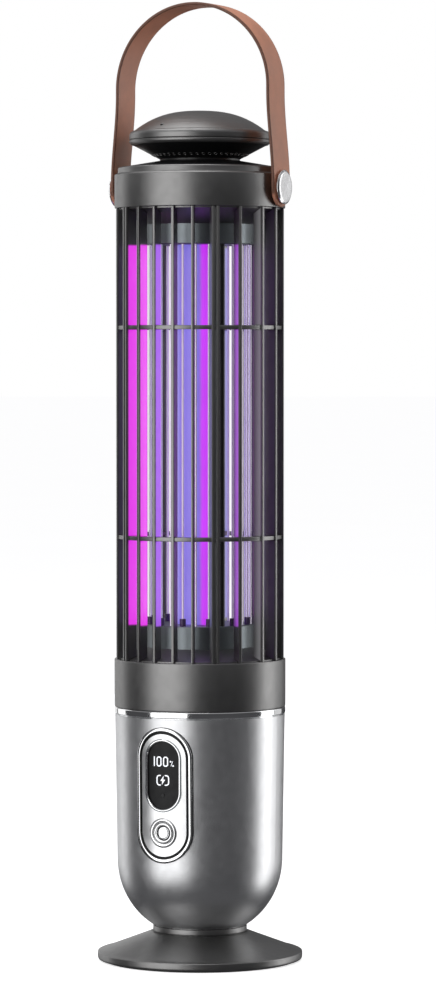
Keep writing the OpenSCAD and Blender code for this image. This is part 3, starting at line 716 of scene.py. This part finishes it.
def patch(made, outline, reach):
    """A thin flat figure inside an outline of (x, z) points, laid on a cylinder of radius reach."""
    front, back = [[made.verts.new(on_cylinder(x, z, reach + depth)) for x, z in outline]
                   for depth in (0.05 * MM, -0.03 * MM)]
    made.faces.new(front)
    made.faces.new(back[::-1])
    for k in range(len(outline)):
        n = (k + 1) % len(outline)
        made.faces.new((front[k], front[n], back[n], back[k]))


def stroke(made, points, width, reach):
    """A flat stroke with round ends through (x, z) points, laid on a cylinder of radius reach."""
    steps = 7
    for start, end in zip(points, points[1:]):
        turn = math.atan2(end[1] - start[1], end[0] - start[0])
        outline = []
        for centre, begin in ((end, turn - math.pi / 2), (start, turn + math.pi / 2)):
            for k in range(steps + 1):
                angle = begin + math.pi * k / steps
                outline.append((centre[0] + width / 2 * math.cos(angle),
                                centre[1] + width / 2 * math.sin(angle)))
        patch(made, outline, reach)


def loop(x, z, width, height, cut):
    """The closed line of a digit about (x, z), with its four corners cut."""
    w, h = width / 2, height / 2
    corners = ((cut - w, -h), (w - cut, -h), (w, cut - h), (w, h - cut), (w - cut, h),
               (cut - w, h), (-w, h - cut), (-w, cut - h), (cut - w, -h))
    return [(x + across, z + up) for across, up in corners]


PEN = 0.55 * MM                       # width of a lit line
# Half of the battery sign and the bolt in its middle, in millimetres about the middle of the sign
BRACKET = [(1.3, 2.3), (2.1, 2.3), (2.8, 1.9), (3.1, 1.2),
           (3.1, -1.2), (2.8, -1.9), (2.1, -2.3), (1.3, -2.3)]
BOLT = [(0.5, 2.2), (-1.3, -0.35), (-0.25, -0.3), (-0.5, -2.2), (1.3, 0.35), (0.25, 0.3)]


def draw_charge(made, line, window):
    """The charge, 100 and a small percent sign, centred on the height line."""
    stroke(made, in_mm([(-4.6, -2.1), (-4.6, 2.1)], line), PEN, window)
    for x in (-2.0 * MM, 1.5 * MM):
        stroke(made, loop(x, line, 2.1 * MM, 4.3 * MM, 0.6 * MM), PEN, window)
    for x, z in ((4.05, 0.1), (5.3, -1.9)):
        stroke(made, in_mm([(x, z), (x + 0.1, z)], line), 0.75 * MM, window)
    stroke(made, in_mm([(4.3, -2.0), (5.1, 0.2)], line), 0.25 * MM, window)


def make_figures():
    """The lit read-out: the charge and, below it, a bolt between brackets; then the unlit dot."""
    window = -low("display_window").y
    line = high("display_segments").z - 2.5 * MM
    sign = low("display_segments").z + 2.8 * MM
    made = bmesh.new()
    draw_charge(made, line, window)
    for side in (-1, 1):
        stroke(made, in_mm([(side * x, z) for x, z in BRACKET], sign), PEN, window)
    patch(made, in_mm(BOLT, sign), window)
    finished("lit_figures", made, "zapper", "display_white", ("display_segments",), crease=50)
    made = bmesh.new()
    stroke(made, in_mm([(-0.05, -7.3), (0.05, -7.3)], sign), 1.5 * MM, window)
    finished("unlit_dot", made, "zapper", "soft_cover", (), crease=50)


def oval_band(made, node, profile, reach):
    """Sweeps a closed profile (outwards, height) about a node's oval outline, on a cylinder."""
    half = (high(node).x - low(node).x) / 2
    top, bottom = high(node).z - half, low(node).z + half
    turns = 64
    rings = []
    for k in range(turns + 2):
        upper = k <= turns // 2
        angle = math.tau * (k if upper else k - 1) / turns
        centre = top if upper else bottom
        ring = []
        for out, height in profile:
            x, rise = math.cos(angle) * (half + out), math.sin(angle) * (half + out)
            ring.append(made.verts.new(on_cylinder(x, centre + rise, reach + height)))
        rings.append(ring)
    bridge(made, rings, len(profile))


def make_panel_lines():
    """The raised lip of the display's opening, the dark seam about it, and a black strip about the bezel
    that stands in for the shade in its gap (painted shadow).
    """
    plate, shell = -low("panel_plate").y, radius("body_shell")
    lip = [(0.02, -0.3), (0.02, 0.05), (0.40, 0.26), (0.75, 0.26), (1.05, 0.02), (1.05, -0.3)]
    # Painted shadow: a black strip fills the gap between the bezel and the body, where shade falls.
    bezel_shadow = [(-0.05, -0.3), (-0.05, 0.05), (0.32, 0.05), (0.32, -0.3)]
    inner_seam = [(1.04, -0.3), (1.04, 0.04), (1.32, 0.04), (1.32, -0.3)]
    for name, node, profile, reach, slot in (
            ("window_lip", "display_window", lip, plate, "bright_trim"),
            ("bezel_gap_shadow", "panel_bezel", bezel_shadow, shell, "black_rubber"),
            ("window_seam", "display_window", inner_seam, plate, "holder_plastic")):
        made = bmesh.new()
        oval_band(made, node, in_mm(profile), reach)
        finished(name, made, "zapper", slot, (), crease=20)


def make_cone_rims():
    """A raised rim about each small hole in the cone under the cap."""
    holes = 48
    reach = 22.9 * MM
    height = low("cap_rim").z - 5 * MM
    tilt = Matrix.Rotation(math.radians(152), 4, "Y")
    outline = in_mm([(0.72, -0.05), (1.02, -0.05), (0.98, 0.14), (0.78, 0.14)])
    made = bmesh.new()
    for k in range(holes):
        turn = Matrix.Rotation(math.tau * k / holes, 4, "Z")
        lathe(made, outline, turn @ Matrix.Translation((reach, 0, height)) @ tilt, segments=10)
    finished("cone_hole_rims", made, "zapper", "dark_metal", (), crease=40)


# ---------------------------------------------------------------- camera, floor and lights
AZIMUTH = math.radians(25.5)          # the camera stands to the right of the front
AXIS_OFFSET = 8.8 * MM                # the object stands this far left of the middle of the picture
EYE_DISTANCE = 2.07
EYE_HEIGHT = 0.294
AIM_HEIGHT = 0.2246
LENS = 153

# Upright soft boxes: name, degrees round from the camera, distance, width in degrees, bottom, top
# and radiance
SOFTBOXES = [
    ("key_left", -43, 1.6, 52, -0.7, 1.3, 1.75),
    ("strip_right", 104, 1.5, 26, -0.7, 1.2, 2.2),
    ("rear_left", -132, 1.6, 26, -0.5, 1.2, 1.1),
    ("rear_right", 131, 1.6, 24, -0.3, 1.2, 0.6),
    ("rear_low", -164, 1.6, 28, -0.2, 0.7, 0.8),
]


def make_camera():
    data = bpy.data.cameras.new("camera")
    data.lens = LENS
    data.sensor_width = 36
    data.clip_end = 100
    camera = bpy.data.objects.new("camera", data)
    bpy.context.scene.collection.objects.link(camera)
    side = Vector((math.cos(AZIMUTH), math.sin(AZIMUTH), 0)) * AXIS_OFFSET
    towards = Vector((math.sin(AZIMUTH), -math.cos(AZIMUTH), 0))
    eye = towards * EYE_DISTANCE + side + Vector((0, 0, EYE_HEIGHT))
    aim = side + Vector((0, 0, AIM_HEIGHT))
    camera.location = eye
    camera.rotation_euler = (aim - eye).to_track_quat("-Z", "Y").to_euler()
    bpy.context.scene.camera = camera


def panel_light(name, place, target, size, radiance):
    """A rectangle of soft light of the given brightness, not seen by the camera."""
    data = bpy.data.lights.new(name, "AREA")
    data.shape = "RECTANGLE"
    data.size, data.size_y = size
    data.energy = radiance * math.pi * size[0] * size[1]
    lamp = bpy.data.objects.new(name, data)
    bpy.context.scene.collection.objects.link(lamp)
    lamp.location = place
    lamp.rotation_euler = (target - place).to_track_quat("-Z", "Y").to_euler()
    lamp.visible_camera = False


def softbox(name, degrees, distance, width, bottom, top, radiance):
    """An upright soft box that faces the object; SOFTBOXES says what the numbers are."""
    angle = AZIMUTH + math.radians(degrees)
    middle = (bottom + top) / 2
    place = Vector((math.sin(angle) * distance, -math.cos(angle) * distance, middle))
    across = 2 * distance * math.tan(math.radians(width / 2))
    panel_light(name, place, Vector((0, 0, middle)), (across, top - bottom), radiance)


def make_lights():
    for row in SOFTBOXES:
        softbox(*row)
    panel_light("overhead", Vector((-0.3, -0.1, 1.7)), Vector((0, 0, 0.3)), (1.2, 1.2), 2.1)


def make_floor():
    """A wide pale floor that the camera sees and the object doesn't."""
    mesh = bpy.data.meshes.new("floor")
    made = bmesh.new()
    bmesh.ops.create_circle(made, cap_ends=True, segments=96, radius=30)
    made.to_mesh(mesh)
    made.free()
    floor = bpy.data.objects.new("floor", mesh)
    bpy.context.scene.collection.objects.link(floor)
    mat = Shader("floor", (0.9, 0.9, 0.9), 0.9)
    mat.ramp(mat.noise(3, 2), [(0.3, (0.89, 0.89, 0.89)), (0.7, (0.91, 0.91, 0.91))], "Base Color")
    mat.set("Emission Color", (1, 1, 1, 1))
    mat.set("Emission Strength", 0.72)
    mesh.materials.append(mat.material)
    floor.visible_glossy = False
    floor.visible_diffuse = False


def make_world():
    """White to the camera, and round the object a dim sky that is darkest at the horizon."""
    world = bpy.data.worlds.new("world")
    bpy.context.scene.world = world
    world.use_nodes = True
    tree = world.node_tree
    seen = tree.nodes["Background"]
    seen.inputs["Color"].default_value = (1, 1, 1, 1)
    felt = tree.nodes.new("ShaderNodeBackground")
    place = tree.nodes.new("ShaderNodeTexCoord")
    parts = tree.nodes.new("ShaderNodeSeparateXYZ")
    lift = tree.nodes.new("ShaderNodeMapRange")
    lift.inputs[1].default_value = -1
    sky = tree.nodes.new("ShaderNodeValToRGB")
    sky.color_ramp.elements.new(0.5)
    for element, color in zip(sky.color_ramp.elements, (
            (0.10, 0.10, 0.105, 1), (0.055, 0.055, 0.058, 1), (0.42, 0.42, 0.43, 1))):
        element.color = color
    mix = tree.nodes.new("ShaderNodeMixShader")
    path = tree.nodes.new("ShaderNodeLightPath")
    for out, into in (
            (place.outputs["Generated"], parts.inputs[0]),
            (parts.outputs["Z"], lift.inputs[0]),
            (lift.outputs[0], sky.inputs["Fac"]),
            (sky.outputs["Color"], felt.inputs["Color"]),
            (path.outputs["Is Camera Ray"], mix.inputs[0]),
            (felt.outputs[0], mix.inputs[1]),
            (seen.outputs[0], mix.inputs[2]),
            (mix.outputs[0], tree.nodes["World Output"].inputs["Surface"])):
        tree.links.new(out, into)


make_camera()
make_foot()
make_neck()
make_trim()
make_rim()
for node, width in EASED.items():
    eased(node, width * MM)
make_strap()
make_snaps()
make_button()
make_button_ring()
make_figures()
make_panel_lines()
make_cone_rims()
make_lights()
make_floor()
make_world()
bpy.context.scene.view_settings.view_transform = "Standard"
